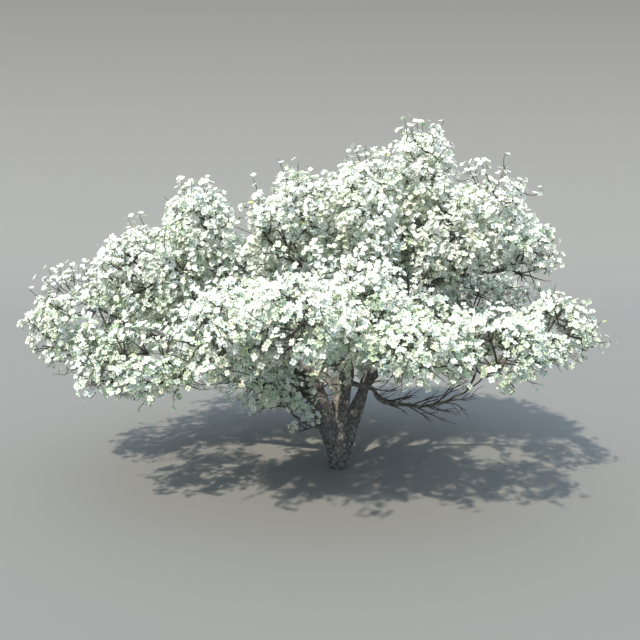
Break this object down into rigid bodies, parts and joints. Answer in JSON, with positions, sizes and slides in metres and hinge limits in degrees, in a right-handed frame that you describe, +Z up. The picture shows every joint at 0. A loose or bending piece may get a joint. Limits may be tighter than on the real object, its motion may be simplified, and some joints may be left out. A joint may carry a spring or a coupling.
{
  "type": "flowering dogwood tree",
  "caption": "Low, wide flowering dogwood in full pale blossom: a short forked trunk, spreading boughs and rounded masses of twigs and four-bract flowers, rooted in level ground.",
  "frame": {"origin": "middle of the flat cut under the trunk, at ground level", "axes": "+Z up, +X to the right and +Y away as seen from the front"},
  "size_m": [2.0684, 1.7255, 1.3036],
  "materials": {
    "bark": "dry, finely furrowed bark",
    "blossom": "matt petal-like bracts"
  },
  "bodies": {
    "root": {"trunk": "bark", "bough_left_far": "bark", "bough_left_low": "bark", "bough_left_inner": "bark", "bough_left_front": "bark", "bough_left_middle": "bark", "bough_left_upper": "bark", "bough_front_upper": "bark", "bough_middle": "bark", "bough_centre_upper": "bark", "bough_front": "bark", "bough_right_low": "bark", "bough_top": "bark", "bough_top_right": "bark", "bough_right_middle": "bark", "bough_right_upper": "bark", "bough_right_far": "bark", "bough_front_right": "bark", "bough_right_back": "bark", "bough_back": "bark", "bough_back_left": "bark", "bough_back_right": "bark", "bough_back_upper": "bark", "bough_left_under": "bark", "blossom_top": "blossom", "blossom_top_right": "blossom", "blossom_right_upper": "blossom", "blossom_right_middle": "blossom", "blossom_middle": "blossom", "blossom_centre_upper": "blossom", "blossom_left_upper": "blossom", "blossom_left_middle": "blossom", "blossom_left_inner": "blossom", "blossom_left_far": "blossom", "blossom_left_low": "blossom", "blossom_left_front": "blossom", "blossom_front": "blossom", "blossom_front_upper": "blossom", "blossom_front_right": "blossom", "blossom_right_low": "blossom", "blossom_right_far": "blossom", "blossom_right_back": "blossom", "blossom_back_left": "blossom", "blossom_back": "blossom", "blossom_back_right": "blossom", "blossom_back_upper": "blossom", "blossom_left_under": "blossom"}
  },
  "joints": []
}
